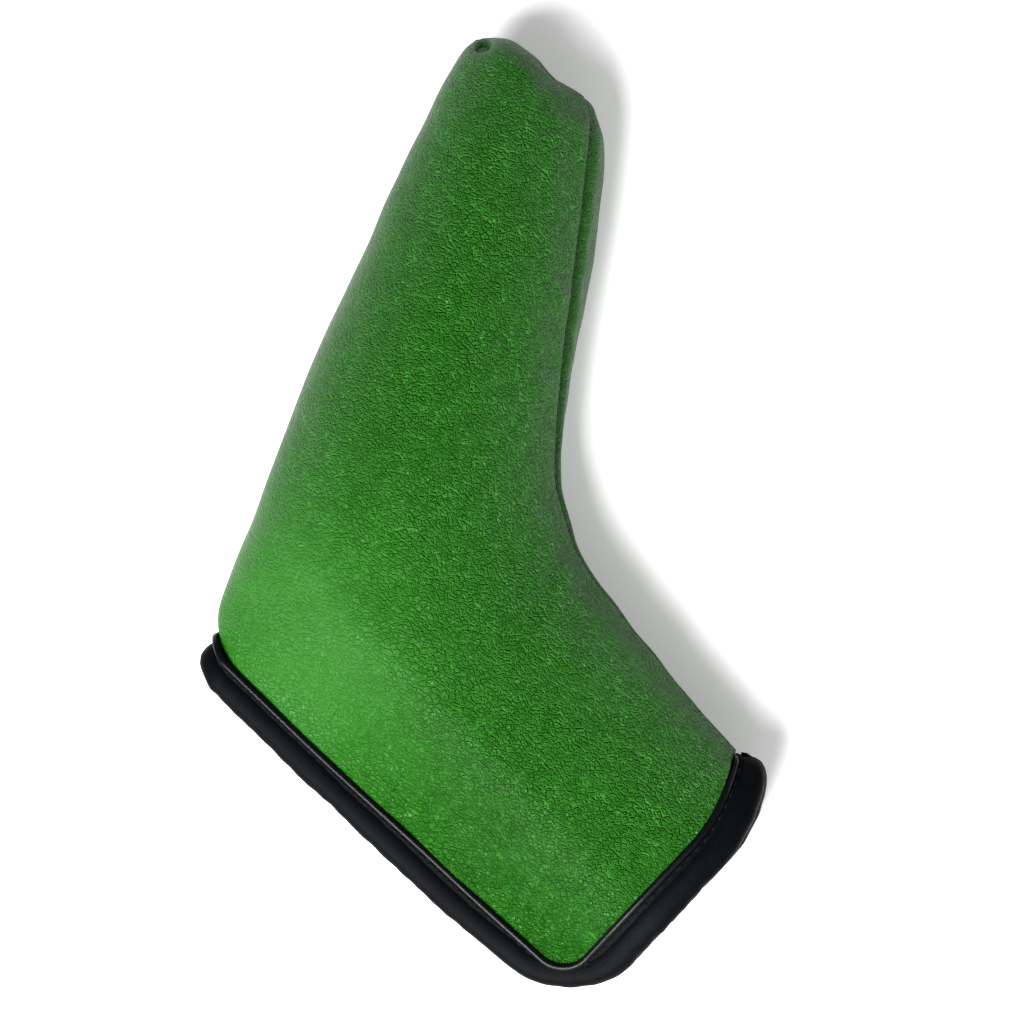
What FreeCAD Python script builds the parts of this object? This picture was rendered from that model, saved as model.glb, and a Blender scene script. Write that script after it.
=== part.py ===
import FreeCAD, Part
import math
import os

# Putter head cover for a blade putter, lying flat on its back panel, +Z up.
# +X runs from the toe to the heel, +Y from the sole to the shaft exit.
# While it is built, the heel corner of the mouth is at x = y = 0 and the parting
# plane of the two panels is z = 0. The finished pieces are then shifted together.
#
# The wall has three layers: plush lining, foam and leather. Each layer is the
# difference of two closed forms, and each closed form is the head cavity grown
# by the layers inside it. The mouth runs up the heel edge and along the shaft
# exit. Its two lips hinge about the line that joins the two ends of the mouth.

DIMENSIONS = [
    # overall sizes, outside the leather
    ("sole_length", 140.0, "toe end to the heel corner of the mouth"),
    ("toe_height", 37.5, "height of the pocket's top edge where the toe starts to round off"),
    ("toe_rise", 1.5, "how far the sole rises at the toe"),
    ("toe_end_width", 26.0, "height of the closed toe end between its rounded corners"),
    ("toe_rounding", 15.0, "length over which the toe end rounds off"),
    ("bend_distance", 64.0, "heel corner to the inside bend, along the sole"),
    ("bend_height", 52.5, "height of the pocket at the inside bend"),
    ("bend_reach", 7.0, "inside bend to the sharp corner that its arc leans towards"),
    ("sole_bow", 1.1, "how far the folded sole bows out below the heel corner"),
    ("turn_setback", 20.0, "heel corner to the foot of the turn, along the sole"),
    ("turn_rise", 1.4, "how far the foot of the turn is above the heel corner"),
    ("heel_edge_length", 105.0, "length of the heel edge of the mouth"),
    ("heel_edge_angle", 69.8, "lean of the heel edge, from the sole, in degrees"),
    ("throat_width", 69.0, "width of the throat above the bend"),
    ("throat_station", 47.0, "how far up the heel edge the throat is at that width"),
    ("heel_station", 23.0, "how far up the heel edge the cavity meets the flat margin"),
    ("exit_width", 65.5, "length of the shaft exit edge"),
    ("corner_radius", 13.0, "rounding of the corner between the two open edges"),
    ("exit_rounding", 9.0, "rounding of the shaft exit's other end, where it meets the seam"),
    # the space inside
    ("toe_cavity", 5.0, "depth of the cavity at the toe end"),
    ("shoulder_cavity", 19.0, "depth of the cavity just behind the toe end"),
    ("pocket_cavity", 27.0, "depth of the cavity along the pocket"),
    ("throat_cavity", 20.0, "depth of the cavity in the throat"),
    ("exit_cavity", 13.0, "depth of the cavity at the shaft exit"),
    ("rest_depth", 10.0, "depth at which the cavity is flat, where the back rests"),
    ("closing_margin", 20.0, "width along the heel edge where the two lips lie flat together"),
    ("lip_gap", 0.5, "gap between the two closed lips"),
    # wall layers
    ("lining", 1.3, "thickness of the plush lining"),
    ("foam", 2.4, "thickness of the foam"),
    ("leather", 1.2, "thickness of the leather"),
    # trim of the mouth
    ("binding_width", 5.0, "width of the padded binding"),
    ("stitch_width", 0.6, "width of the stitched groove beside the binding"),
    ("piping_width", 1.8, "width of the piping beside the leather"),
    ("trim_stand", 0.8, "how far binding and piping stand above the leather"),
    ("seam_width", 0.8, "width of the sewn seam"),
    # hinge of the lips
    ("hinge_distance", 3.0, "hinge face, past the line between the two ends of the mouth"),
    ("hinge_gap", 2.0, "gap between the fixed part and the lips at the hinge"),
    # closure
    ("magnet_diameter", 9.0, "diameter of a closing magnet"),
    ("magnet_thickness", 2.0, "thickness of a closing magnet"),
    ("magnet_pitch", 20.0, "distance between the magnets"),
    ("magnet_start", 46.0, "heel corner to the first magnet, along the heel edge"),
    ("pouch_wall", 0.5, "cloth around a magnet in its pouch"),
    ("pouch_end", 3.0, "pouch beyond the first and the last magnet"),
]
MAGNETS_PER_LIP = 3
REACH = 400.0          # longer than any size of the cover
RUN_OUT = 12.0         # how far a form runs on past the shaft exit before it is trimmed
SECTIONS_PER_STATION = 3    # sections of a tube for each of its stations
POINTS_ACROSS = 12     # steps across half a section
BLEND_IN = 3.0         # how far the flat margin reaches into the round of the cavity

doc = FreeCAD.newDocument("putter_head_cover")
sheet = doc.addObject("Spreadsheet::Sheet", "Dims")
for row, (alias, value, meaning) in enumerate(DIMENSIONS, start=1):
    sheet.set(f"A{row}", alias)
    sheet.set(f"B{row}", str(value))
    sheet.set(f"C{row}", meaning)
    sheet.setAlias(f"B{row}", alias)
doc.recompute()
size = {alias: sheet.get(alias) for alias, _, _ in DIMENSIONS}
wall = size["lining"] + size["foam"] + size["leather"]


def dim(alias):
    """The name of a driving dimension inside an expression."""
    return f"Dims.{alias}"


# Sums that several pieces share, as expressions on the sheet.
WALL = f"({dim('lining')} + {dim('foam')} + {dim('leather')})"
HALF_GAP = f"({dim('lip_gap')} / 2)"
LEAN = dim("heel_edge_angle")
ALONG = (f"cos({LEAN})", f"sin({LEAN})")
INWARD = (f"(-sin({LEAN}))", f"cos({LEAN})")
HINGE_ANGLE = f"({LEAN} + atan({dim('exit_width')} / {dim('heel_edge_length')}) / 1deg)"
STITCH_INSET = dim("binding_width")
PIPING_INSET = f"({dim('binding_width')} + {dim('stitch_width')})"
LEATHER_INSET = f"({PIPING_INSET} + {dim('piping_width')})"


def place(item, x, y, z, yaw, roll=0):
    """Bind an object's placement to the sheet: a point, a turn about Z, a roll about X."""
    item.setExpression("Placement", f"placement(vector({x}; {y}; {z}); rotation({yaw}; 0; {roll}))")


def heel_point(length, inset):
    """A point by its distance along the heel edge and its distance inward from it."""
    x = f"(({length}) * {ALONG[0]} + ({inset}) * {INWARD[0]})"
    y = f"(({length}) * {ALONG[1]} + ({inset}) * {INWARD[1]})"
    return x, y


def block(name, size, corner, yaw):
    """A box with its sizes and its corner bound to the sheet."""
    box = doc.addObject("Part::Box", name)
    for side, value in zip(("Length", "Width", "Height"), size):
        box.setExpression(side, str(value))
    place(box, corner[0], corner[1], corner[2], yaw)
    return box


def heel_block(name, length, inset, height):
    """A box in the frame of the heel edge, each argument a pair: from, to."""
    size = [f"({high}) - ({low})" for low, high in (length, inset, height)]
    x, y = heel_point(length[0], inset[0])
    return block(name, size, (x, y, height[0]), LEAN)


def hinge_block(name, offset, height):
    """A long box beside the hinge face; offset is the distance past the line of the mouth's ends."""
    size = [f"({offset[1]}) - ({offset[0]})", 2 * REACH, f"({height[1]}) - ({height[0]})"]
    turn = f"({HINGE_ANGLE} - 90)"
    x = f"(({offset[0]}) * cos({turn}) + {REACH} * sin({turn}))"
    y = f"(({offset[0]}) * sin({turn}) - {REACH} * cos({turn}))"
    return block(name, size, (x, y, height[0]), turn)


def common(name, *items):
    """What all the given objects share."""
    item = doc.addObject("Part::MultiCommon", name)
    item.Shapes = list(items)
    return item


def fuse(name, *items):
    """All the given objects as one."""
    item = doc.addObject("Part::MultiFuse", name)
    item.Shapes = list(items)
    return item


def cut(name, base, tool):
    """The first object without the second."""
    item = doc.addObject("Part::Cut", name)
    item.Base = base
    item.Tool = tool
    return item


def heel_place(length, inset):
    """The same point as a vector, in numbers."""
    lean = math.radians(size["heel_edge_angle"])
    along = FreeCAD.Vector(math.cos(lean), math.sin(lean), 0)
    inward = FreeCAD.Vector(-math.sin(lean), math.cos(lean), 0)
    return length * along + inset * inward


def between(first, second, share):
    """A station part of the way from one station to the next."""
    return [low + share * (high - low) for low, high in zip(first, second)]


def stations():
    """The cavity's sections from toe to exit.

    Each is the outer end on the sole or heel side, the outer end on the seam side,
    both as vectors, and the depth of the cavity there.
    """
    point = FreeCAD.Vector
    foot = -size["sole_bow"]
    toe_x = wall - size["sole_length"]
    toe_mid = (size["toe_height"] + size["toe_rise"]) / 2
    toe_half = size["toe_end_width"] / 2
    shoulder_x = size["toe_rounding"] - size["sole_length"]
    bend_x = -size["bend_distance"]
    toe_end = [point(toe_x, toe_mid - toe_half, 0), point(toe_x, toe_mid + toe_half, 0),
               size["toe_cavity"]]
    shoulder = [point(shoulder_x, size["toe_rise"], 0), point(shoulder_x, size["toe_height"], 0),
                size["shoulder_cavity"]]
    bend = [point(bend_x, foot, 0), point(bend_x, size["bend_height"], 0), size["pocket_cavity"]]
    pocket = [between(shoulder, bend, share) for share in (0.33, 0.67)]
    for section in pocket:
        section[0].y = foot
        section[2] = size["pocket_cavity"]

    margin = size["closing_margin"] - wall
    throat_up = size["throat_station"]
    mouth_up = size["heel_edge_length"]
    throat = [heel_place(throat_up, margin), heel_place(throat_up, size["throat_width"]),
              size["throat_cavity"]]
    mouth = [heel_place(mouth_up, margin), heel_place(mouth_up, size["exit_width"]),
             size["exit_cavity"]]

    # The turn fans round the inside bend, whose arc leans towards the bend's sharp corner.
    corner = bend[1] + (bend[1] - shoulder[1]).normalize() * size["bend_reach"]
    turn_in, turn, heel = [between(bend, throat, share) for share in (0.25, 0.5, 0.75)]
    for section, share in ((turn_in, 0.25), (turn, 0.5), (heel, 0.75)):
        section[1] = between([between([bend[1]], [corner], share)[0]],
                             [between([corner], [throat[1]], share)[0]], share)[0]
    turn[0] = point(-size["turn_setback"], size["turn_rise"], 0)
    turn_in[0] = point((bend[0].x + turn[0].x) / 2, foot, 0)
    heel[0] = heel_place(size["heel_station"], margin)
    past_exit = between(throat, mouth, 1 + RUN_OUT / (mouth_up - throat_up))
    return [toe_end, shoulder, *pocket, bend, turn_in, turn, heel, throat,
            between(throat, past_exit, 0.5), past_exit]


def smooth(values):
    """Values between the stations, on a smooth curve through all of them."""
    knots = [float(index) for index in range(len(values))]
    curve = Part.BSplineCurve()
    curve.interpolate(Points=values, Parameters=knots)
    steps = (len(values) - 1) * SECTIONS_PER_STATION
    return [curve.value(step / SECTIONS_PER_STATION) for step in range(steps + 1)]


def is_end(edge, near, far):
    """Whether an edge lies in the upright plane through two points."""
    normal = (far - near).cross(FreeCAD.Vector(0, 0, 1)).normalize()
    middle = edge.valueAt((edge.FirstParameter + edge.LastParameter) / 2)
    return abs((middle - near).dot(normal)) < 0.001


def tube_shape(growth):
    """The cavity's tube of elliptical sections, grown outwards by a thickness.

    Its two halves are surfaces through the points of all the sections. A loft through the
    same sections ripples where they fan round the bend, so no loft feature is used.
    """
    sections = stations()
    sections[0][0].x -= growth
    sections[0][1].x -= growth
    near_ends = smooth([section[0] for section in sections])
    far_ends = smooth([section[1] for section in sections])
    depths = smooth([FreeCAD.Vector(index, section[2], 0) for index, section in enumerate(sections)])
    faces = []
    for half in (1, -1):
        rows = []
        for near, far, depth in zip(near_ends, far_ends, depths):
            centre = (near + far) / 2
            across = far - near
            half_width = across.Length / 2 - wall + growth
            across.normalize()
            rise = FreeCAD.Vector(0, 0, half * (depth.y / 2 + growth))
            turns = [math.pi * step / POINTS_ACROSS for step in range(POINTS_ACROSS + 1)]
            row = [centre + across * (half_width * math.cos(turn)) + rise * math.sin(turn)
                   for turn in turns[1:-1]]
            rows.append([centre + across * half_width, *row, centre - across * half_width])
        surface = Part.BSplineSurface()
        surface.interpolate(rows)
        faces.append(surface.toShape())
    flat_edges = [[edge for edge in face.Edges if is_end(edge, near_ends[end], far_ends[end])]
                  for end in (0, -1) for face in faces]
    caps = [Part.Face(Part.Wire([*flat_edges[first], *flat_edges[first + 1]])) for first in (0, 2)]
    shell = Part.makeShell([*faces, *caps])
    shell.sewShape()
    solid = Part.Solid(shell)
    if solid.Volume < 0:
        solid.reverse()
    return solid


def closed_form(name, growth):
    """The cavity, grown outwards by the named layers, with the flat margin of its closed lips."""
    tube = doc.addObject("Part::Feature", f"{name}_tube")
    tube.Shape = tube_shape(sum(size[layer] for layer in growth))
    growth = "(" + " + ".join(["0", *(dim(layer) for layer in growth)]) + ")"

    half = f"({growth} + {HALF_GAP})"
    length = (-REACH / 4, f"{dim('heel_edge_length')} + {RUN_OUT}")
    inset = (-RUN_OUT, f"{dim('closing_margin')} + {BLEND_IN}")
    margin = heel_block(f"{name}_margin", length, inset, (f"-{half}", half))
    sole_line = f"({WALL} - {growth})"
    above_sole = block(f"{name}_above_sole", (2 * REACH, REACH, REACH),
                       (-REACH, sole_line, -REACH / 2), 0)
    flat = common(f"{name}_flat", margin, above_sole)
    whole = fuse(f"{name}_whole", tube, flat)
    floor = f"(-{dim('rest_depth')} - {growth})"
    above_floor = block(f"{name}_above_floor", (2 * REACH, 2 * REACH, REACH),
                        (-REACH, -REACH, floor), 0)
    return common(name, whole, above_floor)


def mouth_prism(name, inset):
    """Everything further than the inset from both open edges, with their corners rounded."""
    low = -REACH / 2
    high = REACH / 2
    length = dim("heel_edge_length")
    radius = dim("corner_radius")
    end_radius = dim("exit_rounding")
    near_seam = f"({dim('exit_width')} - {end_radius})"
    parts = [
        heel_block(f"{name}_up_heel", (low, f"{length} - {radius}"), (inset, high), (low, high)),
        heel_block(f"{name}_along_exit", (low, f"{length} - ({inset})"), (radius, near_seam), (low, high)),
        heel_block(f"{name}_at_seam", (low, f"{length} - {end_radius}"), (near_seam, high), (low, high)),
    ]
    for end, end_inset, rounding in (("heel", radius, radius), ("seam", near_seam, end_radius)):
        corner = doc.addObject("Part::Cylinder", f"{name}_{end}_corner")
        corner.setExpression("Radius", f"{rounding} - ({inset})")
        corner.Height = REACH
        x, y = heel_point(f"{length} - {rounding}", end_inset)
        place(corner, x, y, low, 0)
        parts.append(corner)
    return fuse(name, *parts)


# Closed forms, from the inside out.
cavity = closed_form("cavity", [])
lining_form = closed_form("lining_form", ["lining"])
foam_form = closed_form("foam_form", ["lining", "foam"])
leather_form = closed_form("leather_form", ["lining", "foam", "leather"])
trim_form = closed_form("trim_form", ["lining", "foam", "leather", "trim_stand"])

# Bands of the mouth, from its edge inwards.
to_edge = mouth_prism("to_edge", "0")
to_binding = mouth_prism("to_binding", STITCH_INSET)
to_stitching = mouth_prism("to_stitching", PIPING_INSET)
to_piping = mouth_prism("to_piping", LEATHER_INSET)

# The three bodies: the fixed part on one side of the hinge face, the two lips on the other.
face = dim("hinge_distance")
lip_start = f"({face} + {dim('hinge_gap')})"
fixed_side = hinge_block("fixed_side", (-REACH, face), (-REACH / 2, REACH / 2))
front_side = hinge_block("front_side", (lip_start, REACH), (0, REACH / 2))
back_side = hinge_block("back_side", (lip_start, REACH), (-REACH / 2, 0))
SIDES = {"front": front_side, "back": back_side}

# The seam closes the toe end and the shaft side at the parting plane.
seam_slot = block("seam_slot", (2 * REACH, REACH, dim("seam_width")),
                  (-REACH, f"{dim('toe_height')} / 4", f"-{dim('seam_width')} / 2"), 0)

lining_wall = common("lining_wall", cut("lining_shell", lining_form, cavity), to_binding)
foam_wall = common("foam_wall", cut("foam_shell", foam_form, lining_form), to_binding)
leather_shell = cut("leather_shell", leather_form, foam_form)
leather_wall = common("leather_wall", leather_shell, to_piping)
stitch_ring = cut("stitch_ring", common("stitch_zone", leather_shell, to_binding), to_stitching)
piping_shell = cut("piping_shell", trim_form, foam_form)
piping_ring = cut("piping_ring", common("piping_zone", piping_shell, to_stitching), to_piping)
binding_shell = cut("binding_shell", trim_form, cavity)
binding_ring = cut("binding_ring", common("binding_zone", binding_shell, to_edge), to_binding)

pieces = {}
fixed_leather = common("fixed_leather", leather_wall, fixed_side)
pieces["outer_leather"] = cut("outer_leather", fixed_leather, seam_slot)
pieces["seam_thread"] = common("seam_thread", fixed_leather, seam_slot)
pieces["foam_padding"] = common("foam_padding", foam_wall, fixed_side)
pieces["plush_lining"] = common("plush_lining", lining_wall, fixed_side)

# Magnets: round, in a sewn pouch that fills the foam's thickness in the flat margin.
magnet_inset = f"({LEATHER_INSET} + {dim('pouch_wall')} + {dim('magnet_diameter')} / 2)"
pouch_half = f"({dim('magnet_diameter')} / 2 + {dim('pouch_wall')})"
foam_low = f"({HALF_GAP} + {dim('lining')})"
foam_high = f"({foam_low} + {dim('foam')})"
magnet_low = f"({foam_low} + ({dim('foam')} - {dim('magnet_thickness')}) / 2)"
magnet_high = f"({magnet_low} + {dim('magnet_thickness')})"
last_magnet = f"({dim('magnet_start')} + {MAGNETS_PER_LIP - 1} * {dim('magnet_pitch')})"
pouch_reach = f"({dim('magnet_diameter')} / 2 + {dim('pouch_end')})"
pouch_length = (f"{dim('magnet_start')} - {pouch_reach}", f"{last_magnet} + {pouch_reach}")
pouch_inset = (f"{magnet_inset} - {pouch_half}", f"{magnet_inset} + {pouch_half}")

for side, region in SIDES.items():
    depth = (foam_low, foam_high) if side == "front" else (f"-{foam_high}", f"-{foam_low}")
    pouch_block = heel_block(f"{side}_pouch_block", pouch_length, pouch_inset, depth)
    magnets = []
    for index in range(MAGNETS_PER_LIP):
        magnet = doc.addObject("Part::Cylinder", f"{side}_magnet_{index}")
        magnet.setExpression("Radius", f"{dim('magnet_diameter')} / 2")
        magnet.setExpression("Height", dim("magnet_thickness"))
        x, y = heel_point(f"({dim('magnet_start')} + {index} * {dim('magnet_pitch')})", magnet_inset)
        place(magnet, x, y, magnet_low if side == "front" else f"(-{magnet_high})", 0)
        magnets.append(magnet)
    group = doc.addObject("Part::Compound", f"{side}_closing_magnets")
    group.Links = magnets
    pieces[f"{side}_closing_magnets"] = group
    lip_foam = common(f"{side}_foam_block", foam_wall, region)
    pouch = cut(f"{side}_magnet_pouch", pouch_block, fuse(f"{side}_magnet_seats", *magnets))
    pieces[f"{side}_magnet_pouch"] = pouch
    pieces[f"{side}_lip_foam"] = cut(f"{side}_lip_foam", lip_foam, pouch_block)
    pieces[f"{side}_lip_leather"] = common(f"{side}_lip_leather", leather_wall, region)
    pieces[f"{side}_lip_lining"] = common(f"{side}_lip_lining", lining_wall, region)
    pieces[f"{side}_lip_binding"] = common(f"{side}_lip_binding", binding_ring, region)
    pieces[f"{side}_lip_piping"] = common(f"{side}_lip_piping", piping_ring, region)
    pieces[f"{side}_lip_stitching"] = common(f"{side}_lip_stitching", stitch_ring, region)

# The trim turns the two ends of the mouth on the fixed part, one piece at each end.
halfway = f"({dim('heel_edge_length')} / 2)"
tall = (-REACH / 2, REACH / 2)
ENDS = {
    "heel_corner": heel_block("heel_half", (-REACH / 2, halfway), (-REACH / 2, REACH / 2), tall),
    "exit_corner": heel_block("exit_half", (halfway, REACH / 2), (-REACH / 2, REACH / 2), tall),
}
RINGS = {"binding": binding_ring, "piping": piping_ring, "stitching": stitch_ring}
for end, half_space in ENDS.items():
    for trim, ring in RINGS.items():
        name = f"{end}_{trim}"
        pieces[name] = common(name, ring, fixed_side, half_space)

for name, piece in pieces.items():
    piece.Label = name
doc.recompute()

# The finished frame: the origin under the middle of the cover, on the surface it lies on.
overall = FreeCAD.BoundBox()
for piece in pieces.values():
    overall.add(piece.Shape.optimalBoundingBox(False, False))
shift = FreeCAD.Vector(-overall.Center.x, -overall.Center.y, -overall.ZMin)
for piece in pieces.values():
    piece.Placement = FreeCAD.Placement(shift, FreeCAD.Rotation())
doc.recompute()

for item in doc.Objects:
    if "Invalid" in item.State or "Error" in item.State:
        raise RuntimeError(f"{item.Name} failed: {item.State}")
for name, piece in pieces.items():
    if piece.Shape.isNull() or not piece.Shape.isValid() or not piece.Shape.Solids:
        raise RuntimeError(f"{name} has no valid solid")

os.makedirs("parts", exist_ok=True)
for name, piece in pieces.items():
    piece.Shape.exportStep(f"parts/{name}.step")
    box = piece.Shape.optimalBoundingBox(False, False)
    print(f"{name}: {len(piece.Shape.Solids)} solid(s), volume {piece.Shape.Volume:.0f}, "
          f"x {box.XMin:.1f}..{box.XMax:.1f} y {box.YMin:.1f}..{box.YMax:.1f} "
          f"z {box.ZMin:.1f}..{box.ZMax:.1f}")
print(f"shift {shift.x:.3f} {shift.y:.3f} {shift.z:.3f}")
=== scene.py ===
"""Padded blade putter cover in pebbled green leather, lying on its back panel.

The cover's plan is drawn in millimetres from the heel corner of its mouth: x runs along the
sole (the toe is at minus x), y towards the shaft exit, z up from the plane where the front and
back panels part. Every soft layer is one panel surface, a function of two parameters: the
station t, from the toe (0) to the shaft exit (13), and the share s, from the folded sole or the
heel edge of the mouth (0) across to the seam (1).
"""

import logging
import math
from dataclasses import dataclass
from enum import Enum

import bpy
import numpy as np
from bpy.types import Material, Node, NodeSocket, NodeTree, Object
from mathutils import Matrix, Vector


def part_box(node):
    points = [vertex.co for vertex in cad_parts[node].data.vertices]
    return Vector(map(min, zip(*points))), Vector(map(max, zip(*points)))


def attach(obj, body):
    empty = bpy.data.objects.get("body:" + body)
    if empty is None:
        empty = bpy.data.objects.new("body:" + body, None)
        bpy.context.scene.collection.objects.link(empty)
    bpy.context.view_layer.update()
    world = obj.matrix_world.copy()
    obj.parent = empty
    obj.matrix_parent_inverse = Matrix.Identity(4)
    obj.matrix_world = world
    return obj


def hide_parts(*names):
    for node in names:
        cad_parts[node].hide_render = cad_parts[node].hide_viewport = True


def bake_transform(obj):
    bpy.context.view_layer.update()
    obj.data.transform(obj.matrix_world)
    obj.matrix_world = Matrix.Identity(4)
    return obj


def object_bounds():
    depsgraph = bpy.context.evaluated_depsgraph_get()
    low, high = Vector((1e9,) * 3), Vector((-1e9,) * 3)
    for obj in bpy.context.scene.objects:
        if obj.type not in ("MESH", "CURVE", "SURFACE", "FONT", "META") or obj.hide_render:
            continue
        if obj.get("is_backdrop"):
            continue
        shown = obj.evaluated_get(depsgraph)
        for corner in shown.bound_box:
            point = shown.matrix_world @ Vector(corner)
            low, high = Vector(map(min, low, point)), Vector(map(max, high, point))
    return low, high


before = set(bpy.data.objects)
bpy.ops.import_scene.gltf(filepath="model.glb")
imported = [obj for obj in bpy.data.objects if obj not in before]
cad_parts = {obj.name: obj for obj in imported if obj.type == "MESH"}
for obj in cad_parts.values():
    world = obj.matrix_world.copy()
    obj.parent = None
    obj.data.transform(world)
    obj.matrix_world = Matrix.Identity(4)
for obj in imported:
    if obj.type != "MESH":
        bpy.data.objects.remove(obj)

log = logging.getLogger("putter_cover")
Array = np.ndarray
MM = 0.001
GRAIN_STRENGTH = "grain_strength"


class Side(Enum):
    """The two panels of the cover: which way each faces, and the body its lip rides on."""

    FRONT = (1.0, "front_lip")
    BACK = (-1.0, "back_lip")

    @property
    def facing(self) -> float:
        """Plus one for the panel that faces up, minus one for the one it lies on."""
        return self.value[0]

    @property
    def lip(self) -> str:
        """The name of the body that this side's lip rides on."""
        return self.value[1]

    @property
    def word(self) -> str:
        """The side's name in lower case, as piece names use it."""
        return self.name.lower()


# --- Curves and surfaces ---


def smooth_curve(keys: Array, at: Array) -> Array:
    """A natural cubic curve through keys that stand at 0, 1, 2 and so on.

    Between two keys the curve is their straight mix plus (u cubed minus u) times the second
    derivative at each end over six; the second derivatives solve 1, 4, 1 rows whose right side
    is six times the second difference of the keys.

    Args:
        keys: values or points, one row each.
        at: where the curve is wanted, in key numbers.

    Returns:
        The curve's values, one row for each place.
    """
    keys = np.asarray(keys, float)
    count = len(keys)
    rows = np.eye(count)
    inner = np.arange(1, count - 1)
    rows[inner, inner - 1] = 1.0
    rows[inner, inner] = 4.0
    rows[inner, inner + 1] = 1.0
    bend = np.zeros_like(keys)
    bend[inner] = 6.0 * (keys[inner - 1] - 2.0 * keys[inner] + keys[inner + 1])
    second = np.linalg.solve(rows, bend)
    first = np.clip(np.floor(at).astype(int), 0, count - 2)
    share = at - first
    left = 1.0 - share
    if keys.ndim > 1:
        share, left = share[..., None], left[..., None]
    straight = left * keys[first] + share * keys[first + 1]
    return straight + ((left**3 - left) * second[first] + (share**3 - share) * second[first + 1]) / 6


def ramp(value: Array, low: float, high: float) -> Array:
    """Nought below low, one above high, and 3u squared minus 2u cubed between them."""
    share = np.clip((value - low) / (high - low), 0.0, 1.0)
    return share * share * (3.0 - 2.0 * share)


def bump(distance: Array, width: float) -> Array:
    """A bell of height one: e to the minus (distance over width) squared."""
    return np.exp(-((distance / width) ** 2))


def ripple(x: Array, y: Array, length: float, seed: int, waves: int = 7) -> Array:
    """Uneven soft waves: the mean of a few sines in seeded directions and lengths.

    Args:
        x, y: where the waves are wanted, in millimetres.
        length: the usual wave length, in millimetres.
        seed: the random seed of the directions, lengths and phases.
        waves: how many sines are added.

    Returns:
        The height of the waves, about minus one to one.
    """
    draw = np.random.default_rng(seed)
    total = np.zeros_like(x)
    for _ in range(waves):
        heading, phase = draw.uniform(0, 2 * math.pi, 2)
        pace = 2 * math.pi / (length * draw.uniform(0.7, 1.6))
        total += np.sin(pace * (x * math.cos(heading) + y * math.sin(heading)) + phase)
    return total / math.sqrt(waves)


def unit(vectors: Array) -> Array:
    """The vectors scaled to length one, along the last axis."""
    return vectors / np.maximum(np.linalg.norm(vectors, axis=-1, keepdims=True), 1e-9)


def walk_along(points: Array) -> Array:
    """How far down a line, or down each column of a grid, each point lies from the first."""
    steps = np.linalg.norm(np.diff(points, axis=0), axis=-1)
    return np.concatenate([np.zeros((1, *steps.shape[1:])), np.cumsum(steps, axis=0)])


def read_at(marks: Array, walked: Array, values: Array) -> Array:
    """Rows of three values, read between the points of a line at marks along it."""
    return np.stack([np.interp(marks, walked, values[:, axis]) for axis in range(3)], axis=-1)


# --- Meshes ---


def grid_faces(rows: int, columns: int, wrap: bool = False) -> Array:
    """The quads of a grid of points, four point numbers each.

    Args:
        rows, columns: the size of the grid.
        wrap: whether the last column joins the first.

    Returns:
        An array of quads.
    """
    down = np.arange(rows - 1)[:, None]
    across = np.arange(columns if wrap else columns - 1)[None, :]
    beside = (across + 1) % columns
    quads = [down * columns + across, (down + 1) * columns + across,
             (down + 1) * columns + beside, down * columns + beside]
    return np.stack(np.broadcast_arrays(*quads), axis=-1).reshape(-1, 4)


def signed_volume(points: Array, faces: Array) -> float:
    """The volume inside closed quads: a sixth of the sum of each triangle's triple product."""
    first, second, third, fourth = (points[faces[:, corner]] for corner in range(4))
    halves = np.einsum("ij,ij->i", first, np.cross(second, third))
    halves += np.einsum("ij,ij->i", first, np.cross(third, fourth))
    return float(halves.sum() / 6)


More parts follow.
